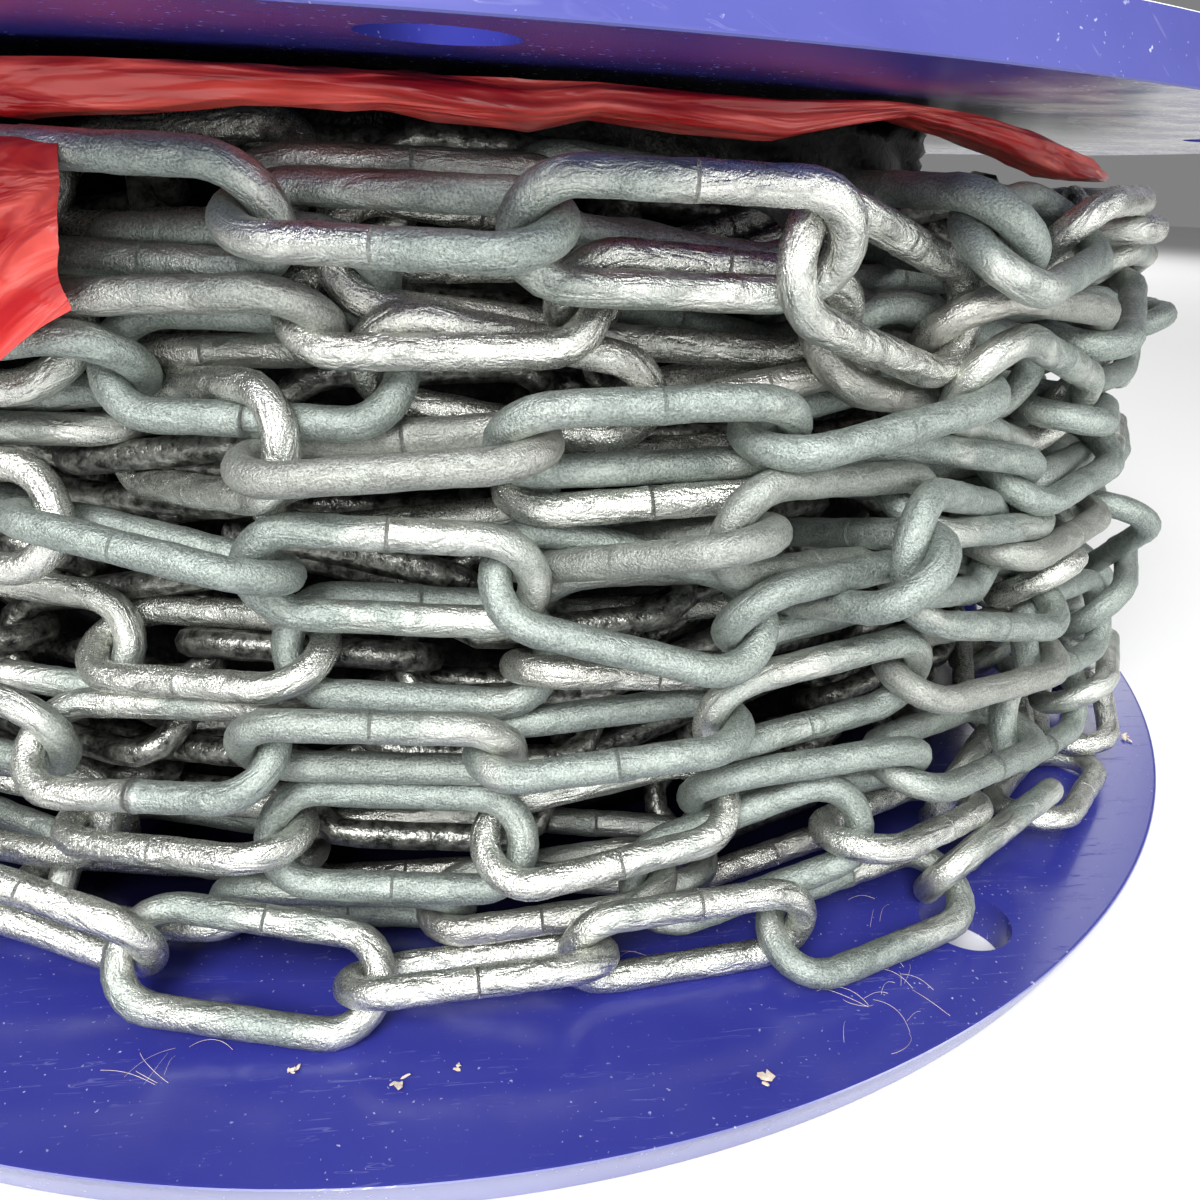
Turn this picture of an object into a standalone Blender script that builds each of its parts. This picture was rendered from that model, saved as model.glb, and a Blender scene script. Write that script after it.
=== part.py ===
"""Reel of long-link welded steel chain: blue plastic reel lying on its lower flange, chain wound on its
drum in a helix, one loose turn on the lower flange, and red wrapping film gathered over the top turn.

Metres, +Z up. The reel's axis is the Z axis and the lower flange rests on z = 0. Azimuths are measured
from -Y towards +X. Run with: blender --background --python part.py
"""

import math

import bmesh
import bpy
from mathutils import Matrix, Vector

# Chain: long-link round steel chain, inner length 7 d and outer width 4 d
WIRE_D = 0.006
LINK_INNER_LENGTH = 0.042
LINK_OUTER_WIDTH = 0.024
LINK_ROLL = math.radians(45)

# Reel
FLANGE_D = 0.480
FLANGE_T = 0.010
RIM_SLOPE = math.radians(21)
FLANGE_SPACING = 0.164
BORE_D = 0.036
DRUM_D = 0.180
DRUM_WALL = 0.004
COLLAR_HEIGHT = 0.006
COLLAR_WALL = 0.004
HOLE_D = 0.020
HOLE_INSET = 0.020
HOLE_COUNT = 6
LOWER_HOLE_AZIMUTH = math.radians(31)
UPPER_HOLE_AZIMUTH = math.radians(60)

# Wound pack: on its right side the upper turns lie slack and bulge outwards
PACK_R = 0.1920
TURN_GAP = 0.0004
PACK_BULGE = 0.014
PACK_BULGE_AZIMUTH = math.radians(52)
PACK_BULGE_SPREAD = math.radians(48)
PACK_BULGE_FOOT = 0.015
PACK_BULGE_RISE = 0.030

# Loose turn: the chain's outer end lies on the lower flange in front of the pack, then joins the helix
LOOSE_START = math.radians(-64)
LOOSE_END = math.radians(66)
LOOSE_GAP = 0.0014
LOOSE_BULGE = 0.012
LOOSE_BULGE_AZIMUTH = math.radians(-3)
LOOSE_BULGE_SPREAD = math.radians(27)
JOIN_SPREAD = math.radians(40)

# Wrapping film
BAND_HEIGHT = 0.0105
BAND_WIDTH = 0.020
BAND_OVERHANG = 0.009
BAND_START = math.radians(-205)
BAND_END = math.radians(49)
FLAP_START = math.radians(-54)
FLAP_END = math.radians(-16)
FLAP_DROP = 0.036
FLAP_T = 0.0015

# Gaps and facets
SEAT_GAP = 0.0003
NODE_GAP = 0.0004
# The four-sided wire stands proud at its ridges by this share, so that neighbouring links fuse.
RIDGE_SHARE = 1.1
ROUND_STEPS = 48
HOLE_STEPS = 16

RIDGE_R = WIRE_D / 2 * RIDGE_SHARE
HOLE_CIRCLE_R = FLANGE_D / 2 - HOLE_INSET
LINK_PITCH = LINK_INNER_LENGTH
# Half the room that a link takes across its strand when it lies at LINK_ROLL
WIRE_HALF = RIDGE_R * max(math.sin(LINK_ROLL), math.cos(LINK_ROLL))
STRAND_HALF = (LINK_OUTER_WIDTH - WIRE_D) / 2 * max(math.sin(LINK_ROLL), math.cos(LINK_ROLL)) + WIRE_HALF
TURN_PITCH = 2 * STRAND_HALF + TURN_GAP
INNER_FACE_LOW = FLANGE_T
INNER_FACE_HIGH = FLANGE_T + FLANGE_SPACING
BAND_BOTTOM = INNER_FACE_HIGH - SEAT_GAP - BAND_HEIGHT
PACK_TOP = BAND_BOTTOM - SEAT_GAP
STRAND_R = PACK_R - STRAND_HALF
CORE_R = STRAND_R - STRAND_HALF - SEAT_GAP


def clear_scene():
    for obj in list(bpy.data.objects):
        bpy.data.objects.remove(obj, do_unlink=True)


def new_collection(name, hidden=False):
    collection = bpy.data.collections.new(name)
    bpy.context.scene.collection.children.link(collection)
    collection.hide_render = hidden
    return collection


def material(name, colour, roughness, metallic):
    made = bpy.data.materials.new(name)
    made.use_nodes = True
    shader = made.node_tree.nodes["Principled BSDF"]
    shader.inputs["Base Color"].default_value = (*colour, 1)
    shader.inputs["Roughness"].default_value = roughness
    shader.inputs["Metallic"].default_value = metallic
    return made


def add_object(name, mesh, look, collection):
    obj = bpy.data.objects.new(name, mesh)
    mesh.materials.clear()
    mesh.materials.append(look)
    collection.objects.link(obj)
    return obj


def add_cutter(name, mesh):
    obj = bpy.data.objects.new(name, mesh)
    obj.hide_render = True
    obj.display_type = "WIRE"
    HELPERS.objects.link(obj)
    return obj


def boolean(obj, other, operation):
    modifier = obj.modifiers.new(other.name, "BOOLEAN")
    modifier.operation = operation
    modifier.solver = "EXACT"
    modifier.object = other


def add_turned(name, profile, look):
    """A turned solid made with a Screw modifier, for a profile of (radius, height) points."""
    mesh = bpy.data.meshes.new(name)
    bm = bmesh.new()
    corners = [bm.verts.new((radius, 0, height)) for radius, height in profile]
    for first, second in zip(corners, corners[1:] + corners[:1]):
        bm.edges.new((first, second))
    bm.to_mesh(mesh)
    bm.free()
    obj = add_object(name, mesh, look, REEL)
    screw = obj.modifiers.new("turn", "SCREW")
    screw.steps = ROUND_STEPS
    screw.render_steps = ROUND_STEPS
    screw.use_merge_vertices = True
    screw.merge_threshold = 0.00001
    screw.use_normal_flip = True
    return obj


def on_circle(azimuth, radius, height):
    return Vector((radius * math.sin(azimuth), -radius * math.cos(azimuth), height))


# Flanges and drum
def add_flange(name, hole_azimuth):
    """A flange with its outer face on z = 0, its rim tapering in towards that face, and its drum collar."""
    rim_in = FLANGE_T * math.tan(RIM_SLOPE)
    collar_r = DRUM_D / 2 - DRUM_WALL - SEAT_GAP
    profile = [
        (BORE_D / 2, 0),
        (FLANGE_D / 2 - rim_in, 0),
        (FLANGE_D / 2, FLANGE_T),
        (collar_r, FLANGE_T),
        (collar_r, FLANGE_T + COLLAR_HEIGHT),
        (collar_r - COLLAR_WALL, FLANGE_T + COLLAR_HEIGHT),
        (collar_r - COLLAR_WALL, FLANGE_T),
        (BORE_D / 2, FLANGE_T),
    ]
    flange = add_turned(name, profile, BLUE_PLASTIC)
    bm = bmesh.new()
    for index in range(HOLE_COUNT):
        azimuth = hole_azimuth + 2 * math.pi * index / HOLE_COUNT
        centre = on_circle(azimuth, HOLE_CIRCLE_R, FLANGE_T / 2)
        bmesh.ops.create_cone(
            bm,
            cap_ends=True,
            segments=HOLE_STEPS,
            radius1=HOLE_D / 2,
            radius2=HOLE_D / 2,
            depth=2 * FLANGE_T,
            matrix=Matrix.Translation(centre),
        )
    holes = bpy.data.meshes.new(name + "_holes")
    bm.to_mesh(holes)
    bm.free()
    boolean(flange, add_cutter(name + "_holes", holes), "DIFFERENCE")
    return flange


def seat(obj, location, rotation):
    """Places an object and the cutters of its modifiers together."""
    together = [obj] + [modifier.object for modifier in obj.modifiers if modifier.type == "BOOLEAN"]
    for each in together:
        each.location = location
        each.rotation_euler = rotation


def build_reel():
    add_flange("lower_flange", LOWER_HOLE_AZIMUTH)
    # The upper flange is the same moulding turned over, which mirrors its azimuths.
    upper = add_flange("upper_flange", math.pi - UPPER_HOLE_AZIMUTH)
    seat(upper, (0, 0, 2 * FLANGE_T + FLANGE_SPACING), (math.pi, 0, 0))
    low = INNER_FACE_LOW + SEAT_GAP
    high = INNER_FACE_HIGH - SEAT_GAP
    outer = DRUM_D / 2
    inner = outer - DRUM_WALL
    add_turned("drum", [(inner, low), (outer, low), (outer, high), (inner, high)], BLUE_PLASTIC)


# Chain
def link_mesh():
    """One link lying in the XY plane, its long axis on X, with a four-sided wire."""
    reach = LINK_INNER_LENGTH / 2 + WIRE_D / 2
    half = (LINK_OUTER_WIDTH - WIRE_D) / 2
    chamfer = half * math.tan(math.radians(22.5))
    shoulder = reach - half + chamfer
    quarter = [(shoulder, half), (reach, chamfer)]
    right = quarter + [(x, -y) for x, y in reversed(quarter)]
    outline = right + [(-x, -y) for x, y in right]
    curve = bpy.data.curves.new("link", "CURVE")
    curve.dimensions = "3D"
    curve.bevel_depth = RIDGE_R
    curve.bevel_resolution = 0
    spline = curve.splines.new("POLY")
    spline.points.add(len(outline) - 1)
    for point, (x, y) in zip(spline.points, outline):
        point.co = (x, y, 0, 1)
    spline.use_cyclic_u = True
    obj = bpy.data.objects.new("link", curve)
    mesh = bpy.data.meshes.new_from_object(obj)
    bpy.data.objects.remove(obj)
    return mesh


def link_frame(start, end, roll):
    """The pose of a link whose joints with its neighbours are at start and end."""
    along = (end - start).normalized()
    outward = Vector((start.x + end.x, start.y + end.y, 0)).normalized()
    up = outward.cross(along).normalized()
    if up.z < 0:
        up = -up
    side = up.cross(along).normalized()
    turn = Matrix((along, side, up)).transposed().to_4x4()
    return Matrix.Translation((start + end) / 2) @ turn @ Matrix.Rotation(roll, 4, "X")


def smooth_step(share):
    share = max(0.0, min(1.0, share))
    return share * share * (3 - 2 * share)


def swell(azimuth, centre, spread):
    """A smooth hump of height 1 over an azimuth, for every turn that passes it."""
    off = math.remainder(azimuth - centre, 2 * math.pi)
    return math.cos(max(-1.0, min(1.0, off / spread)) * math.pi / 2) ** 2


def chain_path(azimuth):
    """The route of the joints: the loose turn on the lower flange, then the helix up the pack."""
    on_pack = math.hypot(STRAND_R, LINK_PITCH / 2)
    outside = on_pack + 2 * STRAND_HALF + LOOSE_GAP
    bottom = INNER_FACE_LOW + SEAT_GAP + STRAND_HALF
    if azimuth < LOOSE_END:
        bulge = LOOSE_BULGE * swell(azimuth, LOOSE_BULGE_AZIMUTH, LOOSE_BULGE_SPREAD)
        return on_circle(azimuth, outside + bulge, bottom)
    past = azimuth - LOOSE_END
    rise = TURN_PITCH * past / (2 * math.pi)
    radius = outside + (on_pack - outside) * smooth_step(past / JOIN_SPREAD)
    slack = PACK_BULGE * smooth_step((rise - PACK_BULGE_FOOT) / PACK_BULGE_RISE)
    radius += slack * swell(azimuth, PACK_BULGE_AZIMUTH, PACK_BULGE_SPREAD)
    return on_circle(azimuth, radius, bottom + rise)


def next_joint(azimuth):
    """The azimuth of the joint that lies one LINK_PITCH further along the chain."""
    here = chain_path(azimuth)
    low, high = azimuth, azimuth + math.radians(60)
    for _ in range(40):
        middle = (low + high) / 2
        if (chain_path(middle) - here).length < LINK_PITCH:
            low = middle
        else:
            high = middle
    return low


def add_strand(name, points, first_index):
    """Fuses the links between the joint points into one solid: even and odd links roll opposite ways."""
    link = link_mesh()
    halves = [bmesh.new(), bmesh.new()]
    for offset, (start, end) in enumerate(zip(points, points[1:])):
        index = first_index + offset
        roll = LINK_ROLL if index % 2 else -LINK_ROLL
        bm = halves[index % 2]
        before = len(bm.verts)
        bm.from_mesh(link)
        bm.verts.ensure_lookup_table()
        bmesh.ops.transform(bm, matrix=link_frame(start, end, roll), verts=bm.verts[before:])
    meshes = []
    for label, bm in zip(("even", "odd"), halves):
        bmesh.ops.recalc_face_normals(bm, faces=bm.faces[:])
        mesh = bpy.data.meshes.new(name + "_" + label)
        bm.to_mesh(mesh)
        bm.free()
        meshes.append(mesh)
    strand = add_object(name, meshes[0], ZINC, REEL)
    boolean(strand, add_cutter(name + "_odd_links", meshes[1]), "UNION")


def build_chain():
    """The chain's outer layer, cut into nodes: the loose turn, then about one turn of the helix each."""
    # Between two nodes the links hang in each other without touching.
    pull = WIRE_D * (RIDGE_SHARE - 1) + NODE_GAP
    top = PACK_TOP - STRAND_HALF
    azimuth = LOOSE_START
    placed = 0
    turn = 0
    finished = False
    while not finished:
        points = [chain_path(azimuth)]
        while azimuth < LOOSE_END + 2 * math.pi * turn:
            following = next_joint(azimuth)
            finished = chain_path(following).z > top
            if finished:
                break
            azimuth = following
            points.append(chain_path(azimuth))
        if len(points) > 1:
            add_strand("chain_turn_%d" % turn if turn else "chain_loose_turn", points, placed)
        placed += len(points) - 1
        azimuth -= pull / STRAND_R
        turn += 1


def build_core():
    """The hidden inner layers, as one plain turned core around the drum."""
    inner = DRUM_D / 2 + SEAT_GAP
    low = INNER_FACE_LOW + SEAT_GAP
    add_turned("chain_core", [(inner, low), (CORE_R, low), (CORE_R, PACK_TOP), (inner, PACK_TOP)], ZINC)


# Wrapping film
def arc_solid(name, profile, start, end, steps):
    """A closed solid: the profile of (radius, height) points swept from one azimuth to another."""
    bm = bmesh.new()
    corners = [bm.verts.new(on_circle(start, radius, height)) for radius, height in profile]
    face = bm.faces.new(corners)
    bmesh.ops.spin(
        bm,
        geom=[face],
        cent=(0, 0, 0),
        axis=(0, 0, 1),
        angle=end - start,
        steps=steps,
    )
    bmesh.ops.recalc_face_normals(bm, faces=bm.faces[:])
    mesh = bpy.data.meshes.new(name)
    bm.to_mesh(mesh)
    bm.free()
    return mesh


def build_film():
    """The gathered band lies on the top turn, and its free end hangs over the pack as a flap."""
    outer = PACK_R + BAND_OVERHANG
    inner = outer - BAND_WIDTH
    low = BAND_BOTTOM
    high = BAND_BOTTOM + BAND_HEIGHT
    corner = BAND_HEIGHT / 3
    section = [
        (inner + corner, low),
        (outer - corner, low),
        (outer, low + corner),
        (outer, high - corner),
        (outer - corner, high),
        (inner + corner, high),
        (inner, high - corner),
        (inner, low + corner),
    ]
    band = arc_solid("wrap_film", section, BAND_START, BAND_END, 24)
    film = add_object("wrap_film", band, RED_FILM, REEL)
    face_r = outer - corner
    hem = low - FLAP_DROP
    strip = [(face_r - FLAP_T, hem), (face_r, hem), (face_r, low + corner), (face_r - FLAP_T, low + corner)]
    flap = arc_solid("flap", strip, FLAP_START, FLAP_END, 6)
    boolean(film, add_cutter("film_flap", flap), "UNION")


clear_scene()
REEL = new_collection("chain_reel")
HELPERS = new_collection("helpers", hidden=True)
BLUE_PLASTIC = material("blue_plastic", (0.055, 0.06, 0.40), 0.28, 0.0)
ZINC = material("zinc_coated_steel", (0.40, 0.42, 0.40), 0.42, 0.9)
RED_FILM = material("red_film", (0.56, 0.055, 0.045), 0.25, 0.0)
build_reel()
build_core()
build_chain()
build_film()
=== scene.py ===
"""Looks of the reel of steel chain: every link of the outer layers, the flanges, the film and the light.

Metres, +Z up, the reel's axis on Z. Azimuths are measured from -Y towards +X.
"""

import math

import bmesh
import bpy
import numpy as np
from mathutils import Matrix, Vector


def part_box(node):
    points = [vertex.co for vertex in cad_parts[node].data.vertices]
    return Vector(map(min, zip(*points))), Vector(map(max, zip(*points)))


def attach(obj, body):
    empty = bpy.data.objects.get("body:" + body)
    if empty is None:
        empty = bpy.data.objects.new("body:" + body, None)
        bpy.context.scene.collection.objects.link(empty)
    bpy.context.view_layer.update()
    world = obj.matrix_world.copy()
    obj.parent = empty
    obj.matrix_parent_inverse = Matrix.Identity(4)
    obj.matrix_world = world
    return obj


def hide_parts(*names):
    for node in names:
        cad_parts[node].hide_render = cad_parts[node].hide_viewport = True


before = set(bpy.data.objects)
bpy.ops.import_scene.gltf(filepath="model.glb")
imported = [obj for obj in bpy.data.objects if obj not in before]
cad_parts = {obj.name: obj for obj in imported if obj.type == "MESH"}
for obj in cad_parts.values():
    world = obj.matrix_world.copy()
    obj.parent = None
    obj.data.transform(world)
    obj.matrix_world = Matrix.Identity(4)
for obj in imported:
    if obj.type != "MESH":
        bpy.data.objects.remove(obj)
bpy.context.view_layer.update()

# Camera
# A phone camera held about 12 cm in front of the flange rims, level with the upper flange and looking
# a little to the right and down on the wound chain. Its place was found from the rims of both flanges.
PHOTO_WIDTH = 1200
FOCAL_PIXELS = 1018.4
AXIS_PIXEL_X = 600
AXIS_PIXEL_Y = 579
EYE = np.array([0, -0.3558, 0.1602])
YAW = math.radians(9.36)
PITCH_DOWN = math.radians(21.82)
TILT = math.radians(2.89)

ahead_level = np.array([math.sin(YAW), math.cos(YAW), 0])
right_level = np.array([math.cos(YAW), -math.sin(YAW), 0])
straight_up = np.array([0, 0, 1.0])
VIEW_AHEAD = math.cos(PITCH_DOWN) * ahead_level - math.sin(PITCH_DOWN) * straight_up
up_level = math.sin(PITCH_DOWN) * ahead_level + math.cos(PITCH_DOWN) * straight_up
VIEW_RIGHT = math.cos(TILT) * right_level + math.sin(TILT) * up_level
VIEW_UP = math.cos(TILT) * up_level - math.sin(TILT) * right_level


def show(obj):
    bpy.context.scene.collection.objects.link(obj)


camera_data = bpy.data.cameras.new("photo_camera")
camera_data.sensor_width = 36
camera_data.lens = camera_data.sensor_width * FOCAL_PIXELS / PHOTO_WIDTH
camera_data.shift_x = (PHOTO_WIDTH / 2 - AXIS_PIXEL_X) / PHOTO_WIDTH
camera_data.shift_y = (AXIS_PIXEL_Y - PHOTO_WIDTH / 2) / PHOTO_WIDTH
camera_data.clip_start = 0.01
camera = bpy.data.objects.new("photo_camera", camera_data)
axes = np.stack([VIEW_RIGHT, VIEW_UP, -VIEW_AHEAD], 1)
camera.matrix_world = Matrix.Translation(EYE) @ Matrix([list(row) for row in axes]).to_4x4()
show(camera)
bpy.context.scene.camera = camera


def sight_line(pixel_x, pixel_y):
    """The way from the eye through a pixel of the photo."""
    across = VIEW_RIGHT * (pixel_x - AXIS_PIXEL_X) - VIEW_UP * (pixel_y - AXIS_PIXEL_Y)
    return VIEW_AHEAD * FOCAL_PIXELS + across


def sight_point(pixel_x, pixel_y, radius):
    """Where the sight line through a pixel first meets an upright cylinder round the reel's axis."""
    line = sight_line(pixel_x, pixel_y)
    line = line / np.linalg.norm(line)
    a = line[0] ** 2 + line[1] ** 2
    b = line[0] * EYE[0] + line[1] * EYE[1]
    c = EYE[0] ** 2 + EYE[1] ** 2 - radius ** 2
    reach = (-b - math.sqrt(max(b * b - a * c, 0))) / a
    return EYE + reach * line


# Flanges
# Two like discs moulded in blue plastic, 10 mm thick, with a rim that tapers towards the outer face, a
# collar for the drum and six rim holes. The faces are glossy, scratched and dusty from the store.
FLANGE_R = 0.240
FLANGE_T = 0.010
RIM_TAPER = FLANGE_T * math.tan(math.radians(21))
RIM_ROUND = 0.0007
BORE_R = 0.018
COLLAR_R = 0.0857
COLLAR_WALL = 0.004
COLLAR_HEIGHT = 0.006
HOLE_R = 0.010
HOLE_CIRCLE_R = 0.220
HOLE_COUNT = 6
LOWER_HOLE_AZIMUTH = math.radians(31)
UPPER_HOLE_AZIMUTH = math.radians(60)
INNER_FACE_LOW = FLANGE_T
INNER_FACE_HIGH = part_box("upper_flange")[1].z - FLANGE_T


def new_object(name, mesh, finish):
    obj = bpy.data.objects.new(name, mesh)
    mesh.materials.append(finish.material)
    show(obj)
    return obj


class Finish:
    """A finish of the reel as a node material. Each method adds shader nodes and gives back an output.
    It takes outputs of other nodes, numbers and colours; a number given as a colour is a grey."""

    def __init__(self, name):
        self.material = bpy.data.materials.new(name)
        self.material.use_nodes = True
        self.nodes = self.material.node_tree.nodes
        self.links = self.material.node_tree.links

    def feed(self, socket, value):
        if isinstance(value, bpy.types.NodeSocket):
            self.links.new(value, socket)
        elif isinstance(value, tuple):
            socket.default_value = value if socket.type == "VECTOR" else (*value, 1)
        elif socket.type == "RGBA":
            socket.default_value = (value, value, value, 1)
        else:
            socket.default_value = value

    def node(self, kind, inputs, output=0, **settings):
        made = self.nodes.new("ShaderNode" + kind)
        for name, value in settings.items():
            setattr(made, name, value)
        for name, value in inputs.items():
            self.feed(made.inputs[name], value)
        return made.outputs[output]

    def place(self):
        return self.node("TexCoord", {}, "Object")

    def attribute(self, name, output="Fac"):
        return self.node("Attribute", {}, output, attribute_name=name)

    def part(self, vector, axis):
        return self.node("SeparateXYZ", {0: vector}, axis)

    def math(self, operation, *values):
        return self.node("Math", dict(enumerate(values)), operation=operation)

    def product(self, first, second):
        return self.math("MULTIPLY", first, second)

    def weigh(self, *parts, start=0.0):
        """The start value plus each (value, weight)."""
        total = start
        for value, weight in parts:
            total = self.math("MULTIPLY_ADD", value, weight, total)
        return total

    def noise(self, place, scale, detail=2.0, roughness=0.5, distortion=0.0):
        return self.node("TexNoise", {"Vector": place, "Scale": scale, "Detail": detail,
                                      "Roughness": roughness, "Distortion": distortion}, "Fac")

    def ramp(self, source, *stops):
        """Turns a value into greys, given as (position, grey)."""
        made = self.nodes.new("ShaderNodeValToRGB")
        elements = made.color_ramp.elements
        while len(elements) < len(stops):
            elements.new(0.5)
        for element, (position, grey) in zip(elements, stops):
            element.position = position
            element.color = (grey, grey, grey, 1)
        self.links.new(source, made.inputs[0])
        return made.outputs[0]

    def mix(self, share, first, second):
        """The first colour, changed by share into the second one."""
        return self.node("Mix", {0: share, 6: first, 7: second}, 2, data_type="RGBA")

    def bump(self, height, strength, distance):
        return self.node("Bump", {"Height": height, "Strength": strength, "Distance": distance})

    def surface(self, **inputs):
        """Feeds the inputs of the finish's own shader."""
        for name, value in inputs.items():
            self.feed(self.nodes["Principled BSDF"].inputs[name.replace("_", " ")], value)


DEEP_BLUE = (0.018, 0.020, 0.172)
CLEAR_BLUE = (0.032, 0.036, 0.245)
DUST_GREY = (0.60, 0.61, 0.74)
SCRATCH_BLUE = (0.45, 0.46, 0.72)
SCRATCH_HEADING = math.radians(64)
SCRATCH_STRETCH = 11.0
SCUFFED_BLUE = (0.40, 0.42, 0.58)
LOWER_RIM_WEAR = 0.44
UPPER_RIM_WEAR = 0.12
LEVEL_FROM = 0.8  # a face is level where its normal is at least this upright
# The inner faces of both flanges are painted near black up to this distance from the axis: painted shade
# where the pack covers them.
PAINTED_SHADE_BLACK = (0.004, 0.004, 0.020)
PAINTED_SHADE_R = 0.196
PAINTED_SHADE_FADE = 0.016
# The underside of the upper flange is painted whitish in streaks, from this far to the right of the axis on:
# a painted reflection.
REFLECTION_WHITE = (0.66, 0.65, 0.63)
REFLECTION_FROM = 0.070
REFLECTION_FADE = 0.035

blue = Finish("blue_plastic")
place = blue.place()
height = blue.part(place, "Z")
lean = blue.part(blue.node("NewGeometry", {}, "Normal"), "Z")
flat_place = blue.node("VectorMath", {0: place, 1: (1, 1, 0)}, operation="MULTIPLY")
distance = blue.node("VectorMath", {0: flat_place}, "Value", operation="LENGTH")
from_middle = blue.math("ABSOLUTE", blue.math("SUBTRACT", height, (INNER_FACE_LOW + INNER_FACE_HIGH) / 2))
inner_face = blue.math("LESS_THAN", from_middle, (INNER_FACE_HIGH - INNER_FACE_LOW + FLANGE_T) / 2)

clouding = blue.noise(place, 14, 4, 0.6)
patches = blue.ramp(blue.noise(place, 30, 3, 0.6), (0.42, 0.08), (0.62, 1))
dust = blue.product(blue.ramp(blue.noise(place, 900), (0.68, 0), (0.75, 1)), patches)
drawn_out = blue.node("Mapping", {"Vector": place, "Rotation": (0, 0, SCRATCH_HEADING),
                                  "Scale": (1.0, SCRATCH_STRETCH, 1.0)})
scratches = blue.ramp(blue.noise(drawn_out, 75, 2, 0.6, 0.5), (0.63, 0), (0.655, 1), (0.68, 0))
scratches = blue.product(patches, scratches)
colour = blue.mix(clouding, DEEP_BLUE, CLEAR_BLUE)
colour = blue.mix(blue.product(dust, 0.6), colour, DUST_GREY)
colour = blue.mix(blue.product(scratches, 0.14), colour, SCRATCH_BLUE)

steep = blue.math("LESS_THAN", blue.math("ABSOLUTE", lean), LEVEL_FROM)
past_face = blue.math("GREATER_THAN", distance, FLANGE_R - RIM_TAPER - 2 * RIM_ROUND)
is_lower = blue.math("LESS_THAN", height, FLANGE_T)
wear = blue.weigh((is_lower, LOWER_RIM_WEAR - UPPER_RIM_WEAR), start=UPPER_RIM_WEAR)
scuffed = blue.product(blue.product(steep, past_face), wear)
scuffed = blue.product(scuffed, blue.ramp(clouding, (0.35, 0.6), (0.65, 1)))
colour = blue.mix(scuffed, colour, SCUFFED_BLUE)

# Painted reflection: whitish streaks on the underside of the upper flange at the right.
facing_down = blue.product(inner_face, blue.math("LESS_THAN", lean, -LEVEL_FROM))
on_right = blue.weigh((blue.part(place, "X"), 1 / REFLECTION_FADE), start=-REFLECTION_FROM / REFLECTION_FADE)
painted_reflection = blue.product(facing_down, blue.ramp(on_right, (0, 0), (1, 1)))
painted_reflection = blue.product(painted_reflection, blue.ramp(blue.noise(place, 60, 3, 0.6, 0.5), (0.38, 0.10), (0.60, 0.85)))
colour = blue.mix(painted_reflection, colour, REFLECTION_WHITE)
# Painted shade: the inner faces darken to near black towards the axis.
painted_shade = blue.weigh((distance, -1 / PAINTED_SHADE_FADE), start=PAINTED_SHADE_R / PAINTED_SHADE_FADE)
painted_shade = blue.product(inner_face, blue.ramp(painted_shade, (0, 0), (1, 1)))
colour = blue.mix(painted_shade, colour, PAINTED_SHADE_BLACK)

blue.surface(Base_Color=colour, Roughness=blue.weigh((dust, 0.3), (clouding, 0.16), start=0.13),
             Normal=blue.bump(blue.math("ADD", scratches, dust), 0.2, 0.0003), IOR=1.46)


def flange_mesh(name, hole_azimuth):
    """The flange with its outer face on z = 0: a turned solid with a rounded rim, less its holes."""
    bm = bmesh.new()
    rim = [
        (FLANGE_R - RIM_TAPER - RIM_ROUND, 0),
        (FLANGE_R - RIM_TAPER + RIM_ROUND * 0.4, RIM_ROUND * 0.5),
        (FLANGE_R - RIM_ROUND * 0.6, FLANGE_T - RIM_ROUND * 1.2),
        (FLANGE_R, FLANGE_T - RIM_ROUND * 0.4),
        (FLANGE_R - RIM_ROUND * 0.3, FLANGE_T - RIM_ROUND * 0.05),
        (FLANGE_R - RIM_ROUND, FLANGE_T),
    ]
    collar = [
        (COLLAR_R, FLANGE_T),
        (COLLAR_R, FLANGE_T + COLLAR_HEIGHT),
        (COLLAR_R - COLLAR_WALL, FLANGE_T + COLLAR_HEIGHT),
        (COLLAR_R - COLLAR_WALL, FLANGE_T),
    ]
    profile = [(BORE_R, 0)] + rim + collar + [(BORE_R, FLANGE_T)]
    corners = [bm.verts.new((radius, 0, height)) for radius, height in profile]
    edges = [bm.edges.new(pair) for pair in zip(corners, corners[1:] + corners[:1])]
    bmesh.ops.spin(bm, geom=corners + edges, cent=(0, 0, 0), axis=(0, 0, 1), angle=2 * math.pi,
                   steps=256, use_merge=True, use_duplicate=False)
    bmesh.ops.recalc_face_normals(bm, faces=bm.faces[:])
    mesh = bpy.data.meshes.new(name)
    bm.to_mesh(mesh)
    bm.free()
    cutter = bmesh.new()
    for index in range(HOLE_COUNT):
        azimuth = hole_azimuth + 2 * math.pi * index / HOLE_COUNT
        spot = Vector((HOLE_CIRCLE_R * math.sin(azimuth), -HOLE_CIRCLE_R * math.cos(azimuth), FLANGE_T / 2))
        bmesh.ops.create_cone(cutter, cap_ends=True, segments=64, radius1=HOLE_R, radius2=HOLE_R,
                              depth=2 * FLANGE_T, matrix=Matrix.Translation(spot))
    holes = bpy.data.meshes.new(name + "_holes")
    cutter.to_mesh(holes)
    cutter.free()
    blank = bpy.data.objects.new(name + "_blank", mesh)
    drill = bpy.data.objects.new(name + "_drill", holes)
    for each in (blank, drill):
        show(each)
    cut = blank.modifiers.new("holes", "BOOLEAN")
    cut.object = drill
    cut.solver = "EXACT"
    cut.operation = "DIFFERENCE"
    bpy.context.view_layer.update()
    finished = bpy.data.meshes.new_from_object(blank.evaluated_get(bpy.context.evaluated_depsgraph_get()))
    for each in (blank, drill):
        bpy.data.objects.remove(each)
    finished.materials.clear()
    return finished


def place_flange(name, mesh, node):
    obj = new_object(name, mesh, blue)
    mesh.shade_smooth()
    mesh.set_sharp_from_angle(angle=math.radians(35))
    for face in mesh.polygons:
        face.use_smooth = abs(face.normal.z) < 0.9999
    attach(obj, "root")
    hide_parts(node)


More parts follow.
